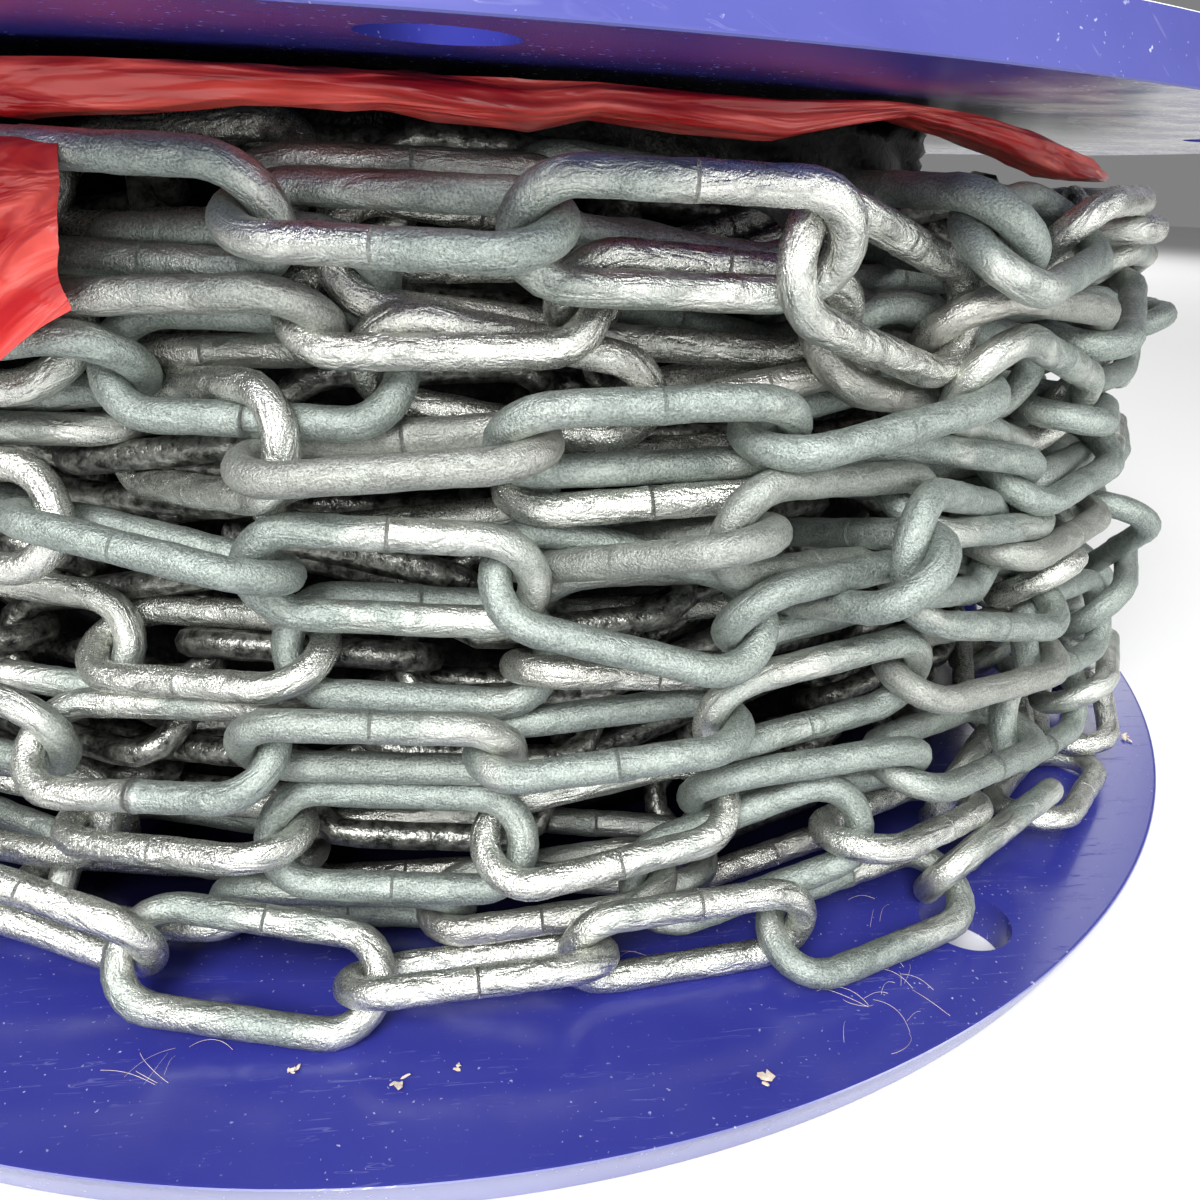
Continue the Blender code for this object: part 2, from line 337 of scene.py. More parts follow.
lower = flange_mesh("lower_flange_moulding", LOWER_HOLE_AZIMUTH)
place_flange("lower_flange_moulding", lower, "lower_flange")
upper = flange_mesh("upper_flange_moulding", math.pi - UPPER_HOLE_AZIMUTH)
turned_over = Matrix.Rotation(math.pi, 4, "X")
upper.transform(Matrix.Translation((0, 0, INNER_FACE_HIGH + FLANGE_T)) @ turned_over)
place_flange("upper_flange_moulding", upper, "upper_flange")
drum_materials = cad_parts["drum"].data.materials
drum_materials.clear()
drum_materials.append(blue.material)


# Dirt
# Wood chips off a pallet and short textile fibres, which lie on the lower flange in front of the chain.
# A chip is a few splinters, and a fibre is a fine three-sided wire that lifts off in its middle.
# Chips: (pixel x, pixel y, length in mm). Tufts: (pixel x, pixel y, number of fibres).
CHIPS = [(1125, 739, 3.2), (765, 1083, 3.4), (400, 1085, 2.6), (295, 1073, 2.0), (460, 1069, 1.8),
         (905, 938, 1.6)]
TUFTS = [(893, 968, 7), (868, 1000, 6), (895, 1008, 6), (168, 1066, 7), (878, 905, 3), (640, 955, 3)]
SPLINTERS = 4
FIBRE_R = 0.00003
FIBRE_LIFT = 0.0009
TUFT_SPREAD = 0.0035


def on_lower_flange(pixel_x, pixel_y):
    """Where the sight line through a pixel meets the inner face of the lower flange."""
    line = sight_line(pixel_x, pixel_y)
    return EYE + line * (INNER_FACE_LOW - EYE[2]) / line[2]


straw = Finish("straw_and_lint")
straw_mix = straw.noise(straw.place(), 900, 2, 0.6)
straw.surface(Base_Color=straw.mix(straw_mix, (0.36, 0.25, 0.15), (0.72, 0.66, 0.60)), Roughness=0.85)

scatter = np.random.default_rng(23)
bm = bmesh.new()
for pixel_x, pixel_y, length in CHIPS:
    spot = on_lower_flange(pixel_x, pixel_y)
    for splinter in range(SPLINTERS):
        size = length / 1000 * scatter.uniform(0.35, 1.0)
        lie = Matrix.Rotation(scatter.uniform(0, math.pi), 4, "Z")
        lie = lie @ Matrix.Rotation(scatter.uniform(-0.35, 0.35), 4, "Y")
        shape = Matrix.Diagonal((size, size * scatter.uniform(0.25, 0.5), size * 0.16, 1))
        shift = Vector((*scatter.normal(0, length / 5000, 2), size * 0.22 + 0.0002 * splinter))
        made = bmesh.ops.create_icosphere(bm, subdivisions=1, radius=0.5,
                                          matrix=Matrix.Translation(Vector(spot) + shift) @ lie @ shape)
        for corner in made["verts"]:
            corner.co += Vector(scatter.normal(0, size * 0.07, 3)) * Vector((1, 1, 0.3))
            corner.co.z = max(corner.co.z, INNER_FACE_LOW + 0.00005)
for pixel_x, pixel_y, count in TUFTS:
    spot = on_lower_flange(pixel_x, pixel_y)
    for fibre in range(count):
        heading, bend = scatter.uniform(0, 2 * math.pi), scatter.normal(0, 110)
        start = spot[:2] + scatter.normal(0, TUFT_SPREAD, 2)
        steps = np.linspace(0, scatter.uniform(0.004, 0.013), 14)
        turned = heading + bend * steps
        line = start + np.cumsum(np.stack([np.cos(turned), np.sin(turned)], 1) * steps[1], 0)
        rings = []
        for point, lift in zip(line, np.sin(np.linspace(0, math.pi, len(line)))):
            level = INNER_FACE_LOW + FIBRE_R * 1.1 + FIBRE_LIFT * lift
            rings.append([bm.verts.new((point[0] + FIBRE_R * math.cos(a), point[1] + FIBRE_R * math.sin(a),
                                        level + FIBRE_R * math.sin(a + 1))) for a in (0, 2.1, 4.2)])
        for near, far in zip(rings, rings[1:]):
            for k in range(3):
                bm.faces.new((near[k], near[(k + 1) % 3], far[(k + 1) % 3], far[k]))
dirt_mesh = bpy.data.meshes.new("chips_and_fibres")
bm.to_mesh(dirt_mesh)
bm.free()
dirt = new_object("chips_and_fibres", dirt_mesh, straw)
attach(dirt, "root")


# Chain
# Long-link chain of 6 mm round steel wire: each link is bent, butt welded in the middle of one side and
# hot-dip galvanised. It is wound without care, so the strands cross, sag and roll as they like.
WIRE_D = 0.006
LINK_INNER_LENGTH = 0.042
LINK_OUTER_WIDTH = 0.024
LINK_PITCH = LINK_INNER_LENGTH
BEND_R = (LINK_OUTER_WIDTH - WIRE_D) / 2
HALF_STRAIGHT = (LINK_INNER_LENGTH + 2 * WIRE_D - LINK_OUTER_WIDTH) / 2
CROWN = HALF_STRAIGHT + BEND_R
FILM_INNER_R = 0.178
FILM_UNDERSIDE = 0.1625
FLAP_LEFT = math.radians(-54)
FLAP_RIGHT = math.radians(-15.2)
FLAP_R = 0.2008
FLAP_HEM = 0.1275
FLAP_GIVE = 0.0012
CORE_R = 0.150


def wire_centre(shares):
    """Points on the centre line of a link's wire and the outward direction at each, at shares of its length.
    The share 0 is the middle of the side with the weld."""
    straight = 2 * HALF_STRAIGHT
    bend = math.pi * BEND_R
    travel = (shares * 2 * (straight + bend) + HALF_STRAIGHT) % (2 * (straight + bend))
    points = np.zeros((len(shares), 3))
    outward = np.zeros((len(shares), 3))
    for sign, start in ((1, 0.0), (-1, straight + bend)):
        on_side = (travel >= start) & (travel < start + straight)
        points[on_side, 0] = sign * (travel[on_side] - start - HALF_STRAIGHT)
        points[on_side, 1] = -sign * BEND_R
        outward[on_side, 1] = -sign
        on_bend = (travel >= start + straight) & (travel < start + straight + bend)
        angle = (travel[on_bend] - start - straight) / BEND_R - math.pi / 2
        outward[on_bend, 0] = sign * np.cos(angle)
        outward[on_bend, 1] = sign * np.sin(angle)
        points[on_bend] = BEND_R * outward[on_bend]
        points[on_bend, 0] += sign * HALF_STRAIGHT
    return points, outward


# The strands in view: the finish of each link from left to right (matt, half or silver) and the joints
# between them, as (pixel x, pixel y, distance from the reel's axis in mm, roll in degrees of the link to the
# next joint). A roll of 0 is a link seen flat on; a positive one turns its upper side towards the eye.
STRANDS = {
    "top": ("hhhshm", [(-40, 200, 186, 70), (262, 212, 198, -65), (545, 222, 208, 10), (828, 243, 212, -14),
        (968, 325, 209, 70), (1078, 315, 205, -30), (1116, 264, 203, 0)]),
    "under_film_left": ("shm", [(10, 218, 172, -60), (272, 172, 179, 66), (535, 170, 184, -50),
        (770, 185, 180, 0)]),
    "under_film_right": ("smms", [(640, 245, 179, 70), (862, 214, 189, 12), (982, 226, 199, -42),
        (1062, 224, 203, 72), (1118, 197, 201, 0)]),
    "behind_top": ("sm", [(345, 268, 185, -44), (635, 266, 181, 50), (852, 284, 174, 0)]),
    "near_left": ("m", [(95, 268, 183, 60), (345, 274, 185, 0)]),
    "second": ("shsshmm", [(-230, 352, 186, 20), (43, 340, 190, 84), (337, 303, 197, -58),
        (605, 323, 197, 35), (840, 315, 195, -20), (980, 352, 200, 75), (1078, 346, 202, 20),
        (1118, 330, 200, 0)]),
    "second_low": ("hmssm", [(-130, 420, 190, 60), (118, 350, 193, -32), (382, 350, 191, 35),
        (622, 383, 190, -75), (850, 350, 193, 10), (1000, 385, 197, 0)]),
    "third": ("hsmmmhm", [(-130, 395, 187, 60), (112, 415, 183, 10), (264, 444, 192, -72),
        (530, 467, 197, 66), (765, 427, 200, -78), (958, 400, 206, 25), (1040, 405, 205, -60),
        (1078, 395, 203, 0)]),
    "third_low": ("ss", [(290, 495, 182, 60), (530, 483, 188, -60), (765, 458, 194, 0)]),
    "left_high": ("smhmmm", [(-190, 470, 192, 10), (45, 515, 194, -80), (275, 572, 198, 40),
        (515, 604, 202, -8), (742, 606, 206, 82), (925, 580, 209, -45), (1030, 600, 207, 0)]),
    "fourth": ("mmhm", [(560, 552, 186, 75), (745, 532, 197, 50), (905, 497, 204, -60), (1000, 498, 205, 60),
        (1075, 478, 205, 0)]),
    "right_a": ("mm", [(870, 440, 198, 75), (1005, 468, 203, -20), (1076, 445, 204, 0)]),
    "right_b": ("smmmm", [(560, 588, 184, 60), (765, 580, 194, -75), (905, 553, 203, 30),
        (1005, 528, 206, -40), (1062, 505, 205, 20), (1086, 472, 203, 0)]),
    "right_c": ("mm", [(1100, 520, 206, 20), (1078, 545, 206, 75), (1033, 645, 207, 0)]),
    "ninth": ("hsms", [(-120, 610, 187, 10), (110, 648, 178, -25), (300, 648, 188, -8), (541, 664, 191, -82),
        (762, 684, 190, 0)]),
    "tenth": ("hhmmhmm", [(-170, 690, 192, 60), (60, 742, 195, -20), (246, 754, 199, 69),
        (490, 757, 201, -60), (712, 724, 208, 46), (908, 668, 212, -25), (1050, 640, 210, 30),
        (1090, 600, 208, 0)]),
    "eleventh": ("ssmsmmm", [(-110, 785, 190, 30), (92, 818, 190, -55), (278, 828, 195, -6),
        (510, 848, 198, -2), (712, 824, 203, 75), (914, 758, 211, -45), (1012, 728, 210, 30),
        (1075, 692, 209, 0)]),
    "twelfth": ("smhms", [(40, 898, 188, -30), (238, 911, 183, 78), (452, 920, 185, -45),
        (655, 893, 196, 25), (862, 840, 207, -50), (950, 800, 207, 0)]),
    "deep_low": ("shshs", [(-150, 790, 178, 60), (75, 846, 177, -45), (295, 872, 178, 50),
        (520, 872, 179, -50), (735, 836, 184, 45), (900, 795, 190, 0)]),
    "loose": ("shsshhs", [(-100, 850, 201, 62), (136, 962, 208, 0), (352, 1004, 207, -84),
        (590, 984, 206, 60), (785, 930, 212, -10), (943, 893, 217, 80), (1032, 820, 214, -20),
        (1064, 756, 212, 0)]),
}


def even_out(joints):
    """Moves the joints of a strand, mostly along the sight line, until each link fits between two."""
    shortest, push, hold_across, hold_deep = 0.97, 0.9, 0.10, 0.01
    wanted = joints.copy()
    sight = wanted - EYE
    sight /= np.linalg.norm(sight, axis=1)[:, None]
    for _ in range(300):
        gap = joints[1:] - joints[:-1]
        length = np.linalg.norm(gap, axis=1)
        change = gap * (1 - np.clip(length, LINK_PITCH * shortest, LINK_PITCH) / length)[:, None] / 2
        joints[:-1] += change * push
        joints[1:] -= change * push
        back = wanted - joints
        depth = (back * sight).sum(1)[:, None] * sight
        joints += hold_across * (back - depth) + hold_deep * depth
    return joints


def round_the_back(start, end, radius, sway):
    """The joints of a strand that goes on round the hidden side of the pack, from one joint to another."""
    blend_reach, side_sway, rise_and_fall = 0.35, 0.0022, 0.0035

    def polar(point):
        return math.atan2(point[0], -point[1]), math.hypot(point[0], point[1]), point[2]

    azimuth_a, radius_a, height_a = polar(start)
    azimuth_b, radius_b, height_b = polar(end)
    if azimuth_b <= azimuth_a:
        azimuth_b += 2 * math.pi
    steps = np.linspace(0, 1, 400)
    azimuth = azimuth_a + (azimuth_b - azimuth_a) * steps
    near_a = np.exp(-((azimuth - azimuth_a) / blend_reach) ** 2)
    near_b = np.exp(-((azimuth_b - azimuth) / blend_reach) ** 2)
    wave = np.sin(azimuth * 3.1 + sway) + 0.6 * np.sin(azimuth * 5.3 + 2.1 * sway)
    quiet = 1 - near_a - near_b
    distance = radius_a * near_a + radius_b * near_b + (radius + side_sway * wave) * quiet
    sag = rise_and_fall * np.sin(azimuth * 2.3 + 3 * sway) * quiet
    height = height_a + (height_b - height_a) * steps ** 1.2 + sag
    line = np.stack([distance * np.sin(azimuth), -distance * np.cos(azimuth), height], 1)
    travelled = np.r_[0, np.cumsum(np.linalg.norm(np.diff(line, axis=0), axis=1))]
    count = max(2, int(math.ceil(travelled[-1] / (LINK_PITCH * 0.995))))
    at = np.linspace(0, travelled[-1], count + 1)
    return np.stack([np.interp(at, travelled, line[:, axis]) for axis in range(3)], 1)


def link_turn(start, end, roll, facing):
    """The turn of a link between two joints. Its columns are the link's length, width and thickness."""
    along = (end - start) / np.linalg.norm(end - start)
    face = facing - along * (facing @ along)
    face /= np.linalg.norm(face)
    side = np.cross(face, along)
    if side[2] < 0 and abs(along[2]) < 0.7:
        side = -side
    width = side * math.cos(roll) + face * math.sin(roll)
    return np.stack([along, width, np.cross(along, width)], 1)


class Winding:
    """All links of the chain, as they're laid before they settle."""

    def __init__(self):
        self.centre, self.start_turn, self.goal_turn = [], [], []
        self.hold, self.layer, self.joined = [], [], []

    def lay(self, joints, rolls, hold, layer, before=None, after=None, seen=True):
        """Lays one strand. Links start at right angles to each other in turn, as they hang in each other."""
        rolls = np.asarray(rolls, float)
        quarter = math.radians(48)
        tries = [[parity * (-1) ** k * quarter for k in range(len(rolls))] for parity in (1, -1)]
        start = min(tries, key=lambda angles: (1 - np.cos(2 * (np.array(angles) - rolls))).sum())
        # A link looks the same after half a turn, so each starts from the half that is nearer to its roll.
        start = rolls + (np.array(start) - rolls + math.pi / 2) % math.pi - math.pi / 2
        first = len(self.centre)
        for k, roll in enumerate(rolls):
            middle = (joints[k] + joints[k + 1]) / 2
            facing = EYE - middle if seen else middle * np.array([1, 1, 0])
            facing = facing / np.linalg.norm(facing)
            self.centre.append(middle)
            self.start_turn.append(link_turn(joints[k], joints[k + 1], start[k], facing))
            self.goal_turn.append(link_turn(joints[k], joints[k + 1], roll, facing))
            self.hold.append(hold)
            self.layer.append(layer)
            if k:
                self.joined.append((first + k - 1, first + k))
        if before is not None:
            self.joined.append((before, first))
        last = first + len(rolls) - 1
        if after is not None:
            self.joined.append((last, after))
        return first, last


def near_pairs(points, owner, reach):
    """Pairs of points of different links that lie closer than reach."""
    cell = np.floor(points / reach).astype(np.int64)
    cell -= cell.min(0) - 1
    size = cell.max(0) + 2
    key = (cell[:, 0] * size[1] + cell[:, 1]) * size[2] + cell[:, 2]
    order = np.argsort(key, kind="stable")
    ordered = key[order]
    found = []
    around = [(x, y, z) for x in (0, 1) for y in (-1, 0, 1) for z in (-1, 0, 1) if (x, y, z) >= (0, 0, 0)]
    for dx, dy, dz in around:
        wanted = key + (dx * size[1] + dy) * size[2] + dz
        low = np.searchsorted(ordered, wanted, "left")
        count = np.searchsorted(ordered, wanted, "right") - low
        first = np.repeat(np.arange(len(points)), count)
        step = np.arange(count.sum()) - np.repeat(np.cumsum(count) - count, count)
        second = order[np.repeat(low, count) + step]
        keep = owner[first] != owner[second]
        if dx == dy == dz == 0:
            keep &= first < second
        first, second = first[keep], second[keep]
        close = ((points[first] - points[second]) ** 2).sum(1) < reach ** 2
        found.append(np.stack([first[close], second[close]]))
    return np.concatenate(found, 1)


def turns_by(vectors):
    """Rotation matrices for rotation vectors."""
    angle = np.linalg.norm(vectors, axis=1)
    x, y, z = (vectors / np.maximum(angle, 1e-12)[:, None]).T
    zero = np.zeros_like(x)
    cross = np.stack([zero, -z, y, z, zero, -x, -y, x, zero], -1).reshape(-1, 3, 3)
    sine, cosine = np.sin(angle)[:, None, None], np.cos(angle)[:, None, None]
    return np.eye(3) + sine * cross + (1 - cosine) * (cross @ cross)


def walls(points):
    """What bounds the winding: both flanges, the film over the top turn and the hidden core."""
    half = WIRE_D / 2
    distance = np.hypot(points[:, 0], points[:, 1])
    ceiling = np.where(distance > FILM_INNER_R, FILM_UNDERSIDE, INNER_FACE_HIGH) - half
    low = np.flatnonzero(points[:, 2] < INNER_FACE_LOW + half)
    high = np.flatnonzero(points[:, 2] > ceiling)
    inside = np.flatnonzero(distance < CORE_R + half)
    azimuth = np.arctan2(points[:, 0], -points[:, 1])
    under_flap = (azimuth > FLAP_LEFT) & (azimuth < FLAP_RIGHT) & (points[:, 2] > FLAP_HEM)
    bulging = np.flatnonzero(under_flap & (distance > FLAP_R - FLAP_GIVE - half))

    def outward(picked):
        return np.stack([points[picked, 0], points[picked, 1], 0 * picked], 1) / distance[picked, None]

    yield low, np.tile([0, 0, 1.0], (len(low), 1)), INNER_FACE_LOW + half - points[low, 2]
    yield high, np.tile([0, 0, -1.0], (len(high), 1)), points[high, 2] - ceiling[high]
    yield inside, outward(inside), CORE_R + half - distance[inside]
    yield bulging, -outward(bulging), distance[bulging] - (FLAP_R - FLAP_GIVE - half)


def settle(winding, rounds):
    """Lets the rigid links push each other apart, hang in each other and stay near where they were laid."""
    loop = wire_centre(np.arange(32) / 32)[0]
    crown = np.array([CROWN, 0, 0])
    arm_scale = 0.015
    longest_step = 0.0012
    look_ahead = 0.0032
    joint_slack = WIRE_D * 1.18
    first_pull, last_pull, fading = 0.25, 0.08, 1.25
    turn_pull, resistance, step_share = 0.5, 0.02, 0.85
    centre, turn = np.array(winding.centre), np.array(winding.start_turn)
    goal_centre, goal_turn = centre.copy(), np.array(winding.goal_turn)
    hold = np.array(winding.hold)
    before, after = np.array(winding.joined).T
    count = len(centre)
    owner = np.repeat(np.arange(count), len(loop))
    for step in range(rounds):
        pull = hold * first_pull * last_pull ** min(1.0, step / (rounds - 1) * fading)
        points = (centre[:, None] + loop @ turn.transpose(0, 2, 1)).reshape(-1, 3)
        if step % 6 == 0:
            pairs = near_pairs(points, owner, WIRE_D + look_ahead)
        gap = points[pairs[0]] - points[pairs[1]]
        distance = np.linalg.norm(gap, axis=1)
        touching = distance < WIRE_D
        first, second = pairs[0][touching], pairs[1][touching]
        push = gap[touching] / np.maximum(distance[touching], 1e-6)[:, None]
        depth = (WIRE_D - distance[touching]) / 2
        rows = [(owner[first], points[first] - centre[owner[first]], push, depth),
                (owner[second], points[second] - centre[owner[second]], -push, depth)]
        for hit, out_of_wall, how_deep in walls(points):
            rows.append((owner[hit], points[hit] - centre[owner[hit]], out_of_wall, how_deep))
        end_before = turn[before] @ crown
        end_after = -(turn[after] @ crown)
        apart = centre[after] + end_after - centre[before] - end_before
        length = np.linalg.norm(apart, axis=1)
        slack = length > joint_slack
        pull_in = apart[slack] / length[slack][:, None]
        too_far = (length[slack] - joint_slack) / 2
        rows.append((before[slack], end_before[slack], pull_in, too_far))
        rows.append((after[slack], end_after[slack], -pull_in, too_far))
        link, arm, direction, amount = (np.concatenate(column) for column in zip(*rows))
        row = np.concatenate([direction, np.cross(arm, direction) / arm_scale], 1)
        order = np.argsort(link, kind="stable")
        row, amount, link = row[order], amount[order], link[order]
        starts = np.flatnonzero(np.r_[True, link[1:] != link[:-1]])
        stiffness = np.zeros((count, 6, 6))
        force = np.zeros((count, 6))
        stiffness[link[starts]] = np.add.reduceat(row[:, :, None] * row[:, None, :], starts)
        force[link[starts]] = np.add.reduceat(row * amount[:, None], starts)
        stiffness[:, range(6), range(6)] += pull[:, None] + resistance
        force[:, :3] += pull[:, None] * (goal_centre - centre)
        force[:, 3:] += pull[:, None] * turn_pull * np.cross(turn, goal_turn, axis=1).sum(2) * arm_scale
        move = np.linalg.solve(stiffness, force[:, :, None])[:, :, 0] * step_share
        for part in (slice(0, 3), slice(3, 6)):
            size = np.linalg.norm(move[:, part], axis=1)
            move[:, part] *= np.minimum(1, longest_step / np.maximum(size, 1e-9))[:, None]
        centre = centre + move[:, :3]
        turn = turns_by(move[:, 3:] / arm_scale) @ turn
    left, _, right = np.linalg.svd(turn)
    return centre, left @ right


# The strands go on round the back, from the right end of one to the left end of another, at a distance from
# the axis in mm. Two dive into the pack on their way, at (azimuth in degrees, height in mm, distance in mm).
DIVE_ENDS = {"dive_left": (-24, 94, 166), "dive_right": (36, 138, 164)}
BACK_RUNS = [
    ("loose", "twelfth", 196), ("twelfth", "eleventh", 186), ("eleventh", "loose", 202),
    ("right_c", "tenth", 194), ("tenth", "ninth", 190), ("left_high", "dive_left", 193),
    ("right_b", "left_high", 197), ("fourth", "third", 189), ("third", "second_low", 194),
    ("behind_top", "dive_right", 176), ("dive_right", "second", 188), ("second", "near_left", 196),
    ("top", "under_film_left", 190), ("under_film_right", "top", 190),
]
INNER_LAYER_R = 0.172
INNER_LAYER_TURNS = 8.6
INNER_LAYER_LOW = 0.024
INNER_LAYER_HIGH = 0.160
SETTLING_ROUNDS = 260

rolls_drawn = np.random.default_rng(11)
winding = Winding()
strand_joints = {}
strand_ends = {}
for name, (_, rows) in STRANDS.items():
    joints = even_out(np.array([sight_point(x, y, radius / 1000) for x, y, radius, _ in rows]))
    strand_joints[name] = joints
    rolls = [math.radians(roll) for *_, roll in rows[:-1]]
    strand_ends[name] = winding.lay(joints, rolls, hold=3.0, layer=0)
seen_links = len(winding.centre)
for name, (azimuth, height, radius) in DIVE_ENDS.items():
    azimuth = math.radians(azimuth)
    end = np.array([radius * math.sin(azimuth), -radius * math.cos(azimuth), height]) / 1000
    strand_joints[name] = end[None]
for number, (from_strand, to_strand, radius) in enumerate(BACK_RUNS):
    joints = round_the_back(strand_joints[from_strand][-1], strand_joints[to_strand][0], radius / 1000,
                            1.7 * number)
    rolls = [(-1) ** k * math.radians(52) for k in range(len(joints) - 1)]
    rolls = rolls + rolls_drawn.normal(0, 0.3, len(joints) - 1)
    next_link = strand_ends[to_strand][0] if to_strand in strand_ends else None
    last_link = strand_ends[from_strand][1] if from_strand in strand_ends else None
    winding.lay(joints, rolls, hold=0.35, layer=1, before=last_link, after=next_link, seen=False)
step_angle = 2 * math.asin(LINK_PITCH / 2 / INNER_LAYER_R) * 0.995
inner_count = int(2 * math.pi * INNER_LAYER_TURNS / step_angle)
angles = 0.3 + step_angle * np.arange(inner_count + 1)
inner = np.stack([INNER_LAYER_R * np.sin(angles), -INNER_LAYER_R * np.cos(angles),
                  np.linspace(INNER_LAYER_LOW, INNER_LAYER_HIGH, inner_count + 1)], 1)
inner += rolls_drawn.normal(0, 0.0012, inner.shape)
winding.lay(inner, rolls_drawn.uniform(-1.3, 1.3, inner_count), hold=0.06, layer=2, seen=False)
link_centre, link_turns = settle(winding, SETTLING_ROUNDS)
link_layer = np.array(winding.layer)


def round_wire(count_along, count_round):
    """A link as rings of points round its wire. Gives each point's place and its way out of the wire, how
    far it lies along the wire from the weld (0 to 1) and its angle round the wire."""
    along = np.arange(count_along) / count_along
    along = along - CLOSER_AT_WELD * np.sin(2 * math.pi * along) / (2 * math.pi)
    points, outward = wire_centre(along)
    ahead = np.roll(points, -1, 0) - np.roll(points, 1, 0)
    ahead /= np.linalg.norm(ahead, axis=1)[:, None]
    up = np.cross(ahead, outward)
    angle = np.arange(count_round) / count_round * 2 * math.pi
    radial = outward[:, None] * np.cos(angle)[None, :, None] + up[:, None] * np.sin(angle)[None, :, None]
    along = np.repeat(along[:, None], count_round, 1)
    return points[:, None] + 0 * radial, radial, along, np.repeat(angle[None], count_along, 0)


# How much of each link's zinc ran bright: as the photo shows it, and by chance on the hidden sides.
FINISH_SHINE = {"m": 0.1, "h": 0.5, "s": 0.95}
link_shine = np.random.default_rng(5).uniform(0, 1, len(link_centre))
for name, (finish, _) in STRANDS.items():
    first, last = strand_ends[name]
    link_shine[first:last + 1] = [FINISH_SHINE[letter] for letter in finish]

WIRE_LENGTH = 2 * (2 * HALF_STRAIGHT + math.pi * BEND_R)
WELD_COLLAR = 0.00034
WELD_WIDTH = 0.0009
WELD_SKEW = 0.0005
CLOSER_AT_WELD = 0.6
STREAK_STRETCH = 0.4
ZINC_LUMPS = 0.000066
ZINC_SPARE = 0.00006


def link_group(name, numbers, count_along, count_round, finish, nodes):
    """Joins like links to one piece, each with its own weld collar, zinc lumps and tint."""
    centre_line, radial, along, angle = round_wire(count_along, count_round)
    chance = np.random.default_rng(400 + len(name) + count_along)
    how_many = len(numbers)
    ring = count_along * count_round
    phase = chance.uniform(0, 2 * math.pi, (how_many, 6, 1, 1))
    flipped = chance.choice([-1, 1], how_many)
    turn = 2 * math.pi * along[None]
    lumps = (np.sin(7 * turn + phase[:, 0] + 1.3 * np.sin(angle + phase[:, 1]))
             + 0.7 * np.sin(17 * turn + phase[:, 2] + 2 * np.sin(2 * angle + phase[:, 3]))
             + 0.5 * np.sin(31 * turn + phase[:, 4]) * np.sin(3 * angle + phase[:, 5]))
    from_weld = np.minimum(along, 1 - along)[None] * WIRE_LENGTH
    skew = WELD_SKEW * np.sin(angle[None] + phase[:, 1])
    weld = np.exp(-((from_weld - skew) / WELD_WIDTH) ** 2) * chance.uniform(0, 1, (how_many, 1, 1)) ** 1.5
    uneven = 0.65 + 0.35 * np.sin(2 * angle[None] + phase[:, 2]) * np.sin(5 * angle[None] + phase[:, 4])
    radius = WIRE_D / 2 + ZINC_LUMPS * lumps + WELD_COLLAR * weld * uneven - ZINC_SPARE
    place = centre_line[None] + radial[None] * radius[..., None]
    place = place * np.stack([flipped, flipped, np.ones(how_many)], 1)[:, None, None, :]
    turned = np.einsum("nij,nabj->nabi", link_turns[numbers], place) + link_centre[numbers][:, None, None]
    grid = np.arange(ring).reshape(count_along, count_round)
    next_along, next_round = np.roll(grid, -1, 0), np.roll(grid, -1, 1)
    faces = np.stack([grid, next_along, np.roll(next_along, -1, 1), next_round], -1).reshape(-1, 4)
    all_faces = (faces[None] + ring * np.arange(how_many)[:, None, None]).reshape(-1, 4)
    mesh = bpy.data.meshes.new(name)
    mesh.from_pydata(turned.reshape(-1, 3).tolist(), [], all_faces.tolist())
    mesh.validate()
    tint = np.repeat(chance.uniform(0, 1, how_many), ring)
    shine = np.repeat(link_shine[numbers] + chance.uniform(-0.12, 0.12, how_many), ring)
    offset = chance.uniform(0, 1, (how_many, 1, 1))
    offset_angle = angle + 0 * offset
    on_wire = np.stack([along * WIRE_LENGTH * STREAK_STRETCH + offset, np.cos(offset_angle) * WIRE_D / 2,
                        np.sin(offset_angle) * WIRE_D / 2], -1)
    wire_place = mesh.attributes.new("wire_place", "FLOAT_VECTOR", "POINT")
    wire_place.data.foreach_set("vector", on_wire.astype(np.float32).reshape(-1))
    far_side = np.tile((turn > math.pi).reshape(-1), how_many).astype(float)
    marks = {"tint": tint, "shine": shine, "weld": weld.reshape(-1), "far_side": far_side,
             "is_link": np.ones_like(far_side)}
    for label, values in marks.items():
        layer = mesh.attributes.new(label, "FLOAT", "POINT")
        layer.data.foreach_set("value", values.astype(np.float32))
    mesh.shade_smooth()
    obj = new_object(name, mesh, finish)
    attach(obj, "root")
    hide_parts(*nodes)


# The zinc is a matt, finely grained grey-green where it cooled slowly, and bright, smeared along the wire
# and lumpy where it ran. Some links are a little coppery, and each weld is a dark seam.
MATT_DARK, MATT_LIGHT = (0.175, 0.204, 0.188), (0.415, 0.462, 0.428)
BRIGHT_DARK, BRIGHT_LIGHT = (0.33, 0.34, 0.315), (0.71, 0.72, 0.665)
PIT_BLACK = (0.03, 0.035, 0.03)
COPPERY = (0.46, 0.33, 0.28)
SEAM_BLACK = (0.07, 0.07, 0.065)
MATT_ROUGHNESS, BRIGHT_ROUGHNESS = 0.52, 0.21

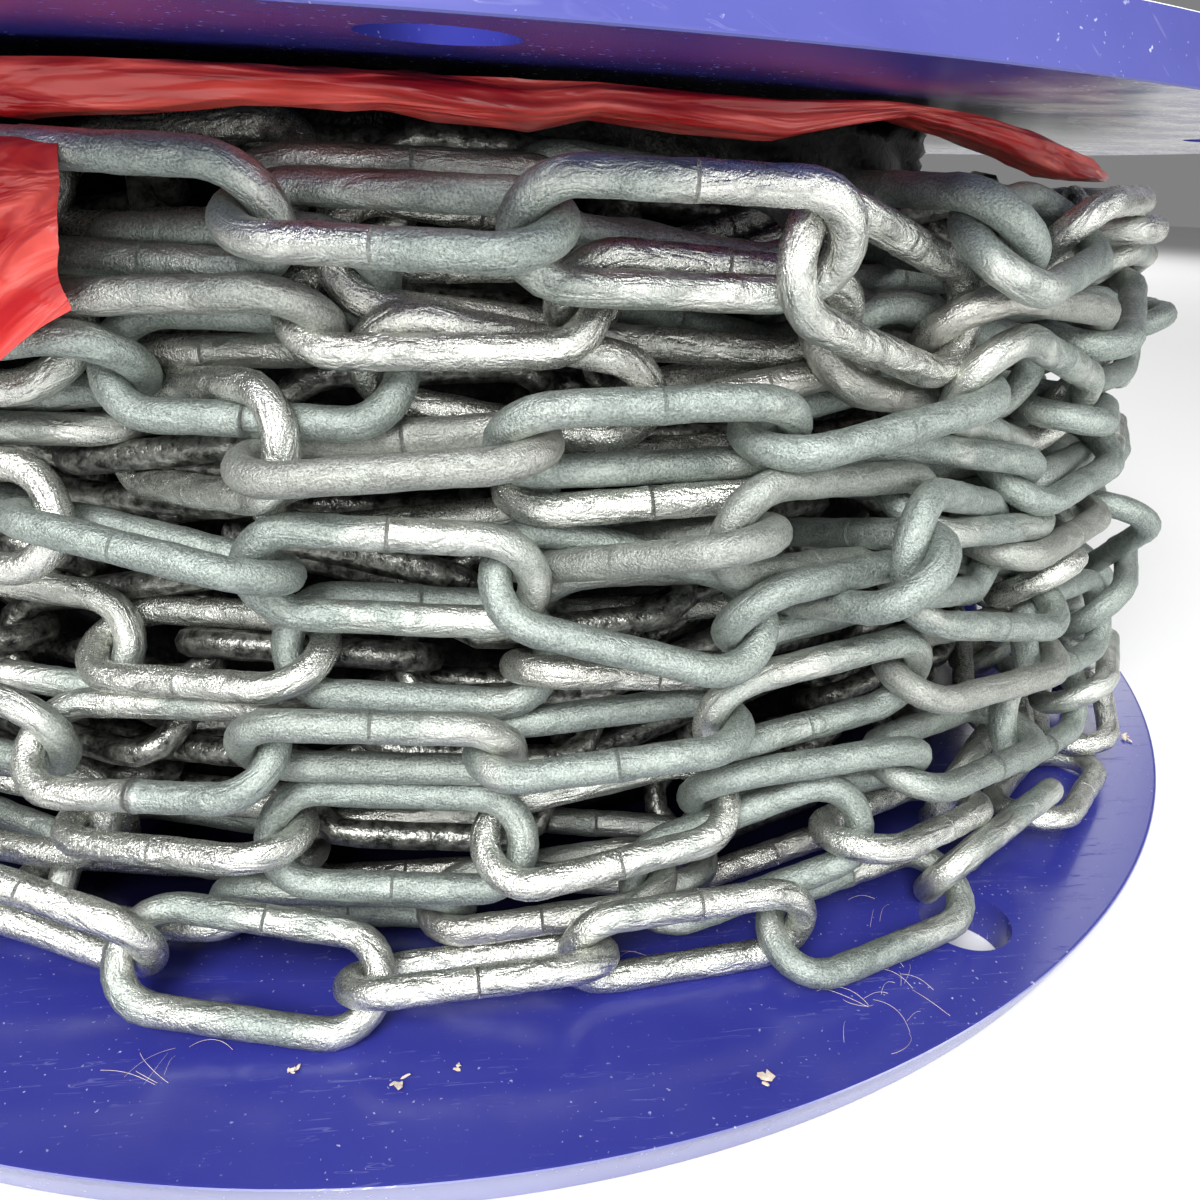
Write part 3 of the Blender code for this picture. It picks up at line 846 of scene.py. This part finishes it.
zinc = Finish("zinc_coated_steel")
place = zinc.place()
shine = zinc.attribute("shine")
flow = zinc.noise(zinc.attribute("wire_place", "Vector"), 300, 3, 0.62, 1.2)
grain = zinc.noise(place, 2400, 2, 0.75)
patches = zinc.noise(place, 48, 1, 0.5, 0.4)
bright = zinc.weigh((patches, 0.60), (shine, 0.40), (zinc.attribute("far_side"), 0.06), (grain, 0.07))
bright = zinc.ramp(bright, (0.49, 0), (0.65, 1))
speckle = zinc.ramp(zinc.weigh((grain, 0.65), (flow, 0.35)), (0.38, 0), (0.62, 1))
smear = zinc.ramp(zinc.weigh((grain, 0.25), (flow, 0.75)), (0.36, 0), (0.60, 1))
colour = zinc.mix(bright, zinc.mix(speckle, MATT_DARK, MATT_LIGHT),
                  zinc.mix(smear, BRIGHT_DARK, BRIGHT_LIGHT))
colour = zinc.mix(zinc.product(zinc.ramp(grain, (0.28, 1), (0.32, 0)), 0.25), colour, PIT_BLACK)
colour = zinc.mix(zinc.ramp(zinc.attribute("tint"), (0.80, 0), (0.95, 0.14)), colour, COPPERY)
colour = zinc.mix(zinc.ramp(zinc.attribute("weld"), (0.30, 0), (0.95, 0.75)), colour, SEAM_BLACK)
lumpy = zinc.product(flow, zinc.weigh((shine, 1.1), start=0.7))
zinc.surface(
    Base_Color=colour, Metallic=0.93,
    Roughness=zinc.weigh((grain, 0.14), start=zinc.mix(bright, MATT_ROUGHNESS, BRIGHT_ROUGHNESS)),
    Normal=zinc.bump(zinc.weigh((grain, 0.45), start=lumpy), 0.9, 0.0006))

# The links of the hidden layers are dull and painted dark: painted shade for the shade deep inside the pack.
# The hidden core is painted near black, also as painted shade.
SHADED_DARK, SHADED_LIGHT = (0.035, 0.037, 0.034), (0.330, 0.335, 0.305)
CORE_SHADE = 0.06

shaded = Finish("shaded_steel")
smears = shaded.noise(shaded.place(), 420, 3, 0.7)
colour = shaded.mix(shaded.ramp(smears, (0.35, 0), (0.65, 1)), SHADED_DARK, SHADED_LIGHT)
# Painted shade: the core, which has no is_link mark, gets its colour times CORE_SHADE.
colour = shaded.mix(shaded.ramp(shaded.attribute("is_link"), (0, CORE_SHADE), (1, 1)), (0, 0, 0), colour)
shaded.surface(Base_Color=colour, Roughness=0.34, Metallic=0.85, Normal=shaded.bump(smears, 0.8, 0.0006))

all_links = np.arange(len(link_centre))
seen = all_links[link_layer == 0]
link_group("chain_front", seen[seen < seen_links // 2], 72, 16, zinc, ["chain_turn_1", "chain_turn_2"])
link_group("chain_front_low", seen[seen >= seen_links // 2], 72, 16, zinc,
           ["chain_loose_turn", "chain_turn_3", "chain_turn_4"])
back = all_links[link_layer == 1]
link_group("chain_back_right", back[:len(back) // 2], 36, 14, zinc, ["chain_turn_5", "chain_turn_6"])
link_group("chain_back_left", back[len(back) // 2:], 36, 14, zinc, ["chain_turn_7", "chain_turn_8"])
link_group("chain_inner_layer", all_links[link_layer == 2], 24, 8, shaded, ["chain_core"])

# The hidden layers are one drum-shaped core, with the links' bulges on it, painted near black as painted
# shade.
CORE_GAP = 0.0003
CORE_SINK = 0.003
CORE_BULGE = 0.0022
core_mesh = bpy.data.meshes.new("chain_hidden_core")
bm = bmesh.new()
columns, rows_up = 240, 40
grid = []
for row in range(rows_up + 1):
    height = INNER_FACE_LOW + CORE_GAP + (INNER_FACE_HIGH - INNER_FACE_LOW - 2 * CORE_GAP) * row / rows_up
    ring = []
    for column in range(columns):
        azimuth = 2 * math.pi * column / columns
        bulge = CORE_BULGE * math.sin(26 * azimuth + 2.2 * row) * math.sin(row * 0.9 + azimuth)
        radius = CORE_R - CORE_SINK + bulge
        ring.append(bm.verts.new((radius * math.sin(azimuth), -radius * math.cos(azimuth), height)))
    grid.append(ring)
for low, high in zip(grid, grid[1:]):
    for column in range(columns):
        after = (column + 1) % columns
        bm.faces.new((low[column], low[after], high[after], high[column]))
bm.faces.new(list(reversed(grid[0])))
bm.faces.new(grid[-1])
bm.to_mesh(core_mesh)
bm.free()
core_mesh.shade_smooth()
hidden_core = new_object("chain_hidden_core", core_mesh, shaded)
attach(hidden_core, "root")
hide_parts("chain_core")

# Film
# Red stretch film, a hand roll 100 mm wide, drawn round the top turn under the upper flange and gathered to
# a twisted band with sharp lengthwise folds. At the left its spread end hangs down over the top links.
FILM_WIDTH = 0.100
BAND_START = math.radians(-205)
BAND_END = math.radians(49)
BAND_R = 0.191
BAND_HALF_DEPTH = 0.0094
BAND_UPPER = 0.1734
BAND_LOWER = 0.1640
BAND_END_UPPER = 0.1652
BAND_END_LOWER = 0.1622
BAND_FALLS_FROM = math.radians(25)
BAND_TURNS = 2.9
BAND_INNERMOST = 0.42
BAND_START_WIDTH = 0.30
BAND_END_WIDTH = 0.70
BAND_PINCH_REACH = 0.20
# Folds of the gathered band: depth, waves in a turn of its spiral and in a radian of azimuth, and shifts.
BAND_FOLDS = [(0.22, 2.0, 2.6, 1, 0), (0.13, 4.5, -4.1, 2, 0.7), (0.09, 8.0, 12, 3, 0)]
# The band's lower edge as the photo shows it: (pixel x, pixel y).
BAND_LOWER_EDGE = [(0, 130), (115, 123), (230, 111), (383, 115), (536, 140), (600, 125), (696, 142),
                   (791, 151), (868, 132), (918, 121), (983, 142), (1040, 165), (1082, 184)]
CREASE_STRETCH = 0.22
# Colours of the film: deep red for painted shade in the folds, a lighter red for painted sheen on the
# ridges.
DEEP_RED = (0.33, 0.008, 0.010)
SHEEN_RED = (0.70, 0.100, 0.080)


def sheet_mesh(name, rows, flat_rows):
    """An open sheet from rows of points; the sheet keeps where each of them lay when it was flat."""
    across = len(rows[0])
    points = np.array(rows).reshape(-1, 3)
    faces = [(r * across + c, r * across + c + 1, (r + 1) * across + c + 1, (r + 1) * across + c)
             for r in range(len(rows) - 1) for c in range(across - 1)]
    mesh = bpy.data.meshes.new(name)
    mesh.from_pydata(points.tolist(), [], faces)
    flat_place = mesh.attributes.new("flat_place", "FLOAT_VECTOR", "POINT")
    flat_place.data.foreach_set("vector", np.array(flat_rows, np.float32).reshape(-1))
    mesh.shade_smooth()
    return mesh


def flat_sheet(along, across):
    """Places on the flat sheet, drawn together lengthwise so that creases run along it."""
    along, across = np.broadcast_arrays(along * CREASE_STRETCH, across)
    return np.stack([along, across, 0 * along], -1)


def on_reel(azimuth, radius, height):
    return np.stack([radius * np.sin(azimuth), -radius * np.cos(azimuth), height + 0 * azimuth], -1)


# The film is lighter red on the raised creases of its bump and deep red between them: painted sheen on the
# ridges and painted shade in the folds.
film = Finish("red_film")
creases = film.noise(film.attribute("flat_place", "Vector"), 150, 3, 0.5, 0.9)
sheen_streaks = film.ramp(creases, (0.38, 0), (0.54, 0.45), (0.66, 1))
film.surface(Base_Color=film.mix(sheen_streaks, DEEP_RED, SHEEN_RED), Roughness=0.28, IOR=1.5,
             Normal=film.bump(creases, 0.8, 0.0022))

edge = [sight_point(x, y, BAND_R + 0.007) for x, y in BAND_LOWER_EDGE]
edge_azimuth = [math.atan2(point[0], -point[1]) for point in edge]
edge_height = [point[2] for point in edge]
azimuth = np.linspace(BAND_START, BAND_END, 860)[:, None]
lower_edge = np.interp(azimuth, [edge_azimuth[0] - 0.25] + edge_azimuth + [BAND_END],
                       [BAND_LOWER] + edge_height + [BAND_END_LOWER])
lower_edge += 0.0009 * np.sin(9 * azimuth) * (azimuth < edge_azimuth[0])
falls = np.clip((azimuth - BAND_FALLS_FROM) / (BAND_END - BAND_FALLS_FROM), 0, 1) ** 1.6
upper_edge = BAND_UPPER + (BAND_END_UPPER - BAND_UPPER) * falls
middle, half_height = (upper_edge + lower_edge) / 2, (upper_edge - lower_edge) / 2
across = np.linspace(0, 1, 78)[None]
spiral = 2 * math.pi * (0.25 + BAND_TURNS * across)
size = BAND_INNERMOST + (1 - BAND_INNERMOST) * across
wander = 0.5 * np.sin(5.3 * azimuth) + 0.3 * np.sin(11.7 * azimuth + 1)
fold = sum(depth * np.abs(np.sin(round_it * spiral + along_it * azimuth + astray * wander + shift))
           for depth, round_it, along_it, astray, shift in BAND_FOLDS)
pinch = np.minimum(1, np.minimum(BAND_END_WIDTH + (BAND_END - azimuth) / BAND_PINCH_REACH,
                                 BAND_START_WIDTH + (azimuth - BAND_START) / BAND_PINCH_REACH))
radius = BAND_R + BAND_HALF_DEPTH * (0.55 + 0.45 * pinch) * (size - fold) * np.cos(spiral)
height = middle + half_height * pinch * (size - 0.8 * fold) * np.sin(spiral)
band_rows = on_reel(azimuth + 0 * across, radius, height)
band_mesh = sheet_mesh("film_band", band_rows, flat_sheet(azimuth * BAND_R, across * FILM_WIDTH))
band = new_object("film_band", band_mesh, film)
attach(band, "root")
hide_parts("wrap_film")

# The spread end of the film: its hem rises from the lowest point to the free edge at the right.
FLAP_TOP = 0.1622
FLAP_TUCK = 0.0035
FLAP_HEM_R = 0.2030
FLAP_CORNER = 0.1375
FLAP_CUT = math.radians(4.5)
FLAP_SINK = 0.0008
FLAP_SWAY = math.radians(0.12)
# Pleats of the flap: depth, waves across and down it, and shift.
FLAP_PLEATS = [(0.0014, 19, 3.2, 0), (0.0010, 31, -7, 1), (0.0011, 13, 9, 0)]
share = np.linspace(0, 1, 130)[:, None]
down = np.linspace(0, 1, 60)[None]
azimuth = FLAP_LEFT + (FLAP_RIGHT - FLAP_LEFT) * share
hem = FLAP_HEM + (FLAP_CORNER - FLAP_HEM) * np.clip(1 - (FLAP_RIGHT - azimuth) / FLAP_CUT, 0, 1)
hem = hem + 0.006 * np.clip(1 - share / 0.25, 0, 1) + 0.0006 * np.sin(40 * share)
height = FLAP_TOP + (hem - FLAP_TOP) * down
pleat = sum(depth * np.abs(np.sin(across_it * share + down_it * down + shift))
            for depth, across_it, down_it, shift in FLAP_PLEATS)
radius = FLAP_R + (FLAP_HEM_R - FLAP_R) * down ** 2 + pleat * (0.25 + 0.75 * down) - FLAP_SINK
radius = radius - FLAP_TUCK * np.clip(1 - down / 0.12, 0, 1) ** 2
azimuth = azimuth + FLAP_SWAY * np.sin(7 * down) * share
flap_mesh = sheet_mesh("film_flap", on_reel(azimuth, radius, height),
                       flat_sheet(azimuth * FLAP_R * 1.6, down * 0.032 + share * 0.02))
flap = new_object("film_flap", flap_mesh, film)
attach(flap, "root")
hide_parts("wrap_film")

# Studio
# A plain pale floor and soft light: the main soft box high in front of the open side, weaker ones low in
# front and at the right, a wide one overhead, and a wide one behind that lights the far floor.
FLOOR_REACH = 6
FLOOR_DROP = 0.0002
SOFT_BOXES = [  # name, place, the point that it faces, width, power in watts
    ("front", (-0.42, -1.17, 1.02), (0, 0, 0.08), 0.66, 38),
    ("low", (0.15, -1.5, 0.22), (0, 0, 0.10), 0.5, 4),
    ("side", (1.2, -0.9, 0.45), (0, 0, 0.08), 0.6, 9),
    ("top", (-0.2, -0.2, 1.8), (0, 0, 0), 1.9, 9),
    ("back", (1.2, 2.3, 1.3), (0.7, 1.5, 0), 1.8, 33),
]
WORLD_LIGHT = 0.22

pale = Finish("pale_floor")
pale.surface(Base_Color=pale.mix(pale.noise(pale.place(), 3, 2), 0.70, 0.74), Roughness=0.8)
floor_mesh = bpy.data.meshes.new("studio_floor")
corners = [(x * FLOOR_REACH, y * FLOOR_REACH, 0) for x, y in ((-1, -1), (1, -1), (1, 1), (-1, 1))]
floor_mesh.from_pydata(corners, [], [(0, 1, 2, 3)])
floor = new_object("studio_floor", floor_mesh, pale)
floor.location = (0, 0, -FLOOR_DROP)

for name, spot, aim, width, power in SOFT_BOXES:
    light_data = bpy.data.lights.new(name + "_soft_box", "AREA")
    light_data.shape = "SQUARE"
    light_data.size = width
    light_data.energy = power
    light = bpy.data.objects.new(light_data.name, light_data)
    light.location = spot
    light.rotation_euler = (Vector(aim) - Vector(spot)).to_track_quat("-Z", "Y").to_euler()
    show(light)
world = bpy.data.worlds.new("pale_studio")
world.use_nodes = True
backdrop = world.node_tree.nodes["Background"].inputs
backdrop["Color"].default_value = (1, 1, 1, 1)
backdrop["Strength"].default_value = WORLD_LIGHT
bpy.context.scene.world = world
bpy.context.scene.view_settings.view_transform = "Standard"
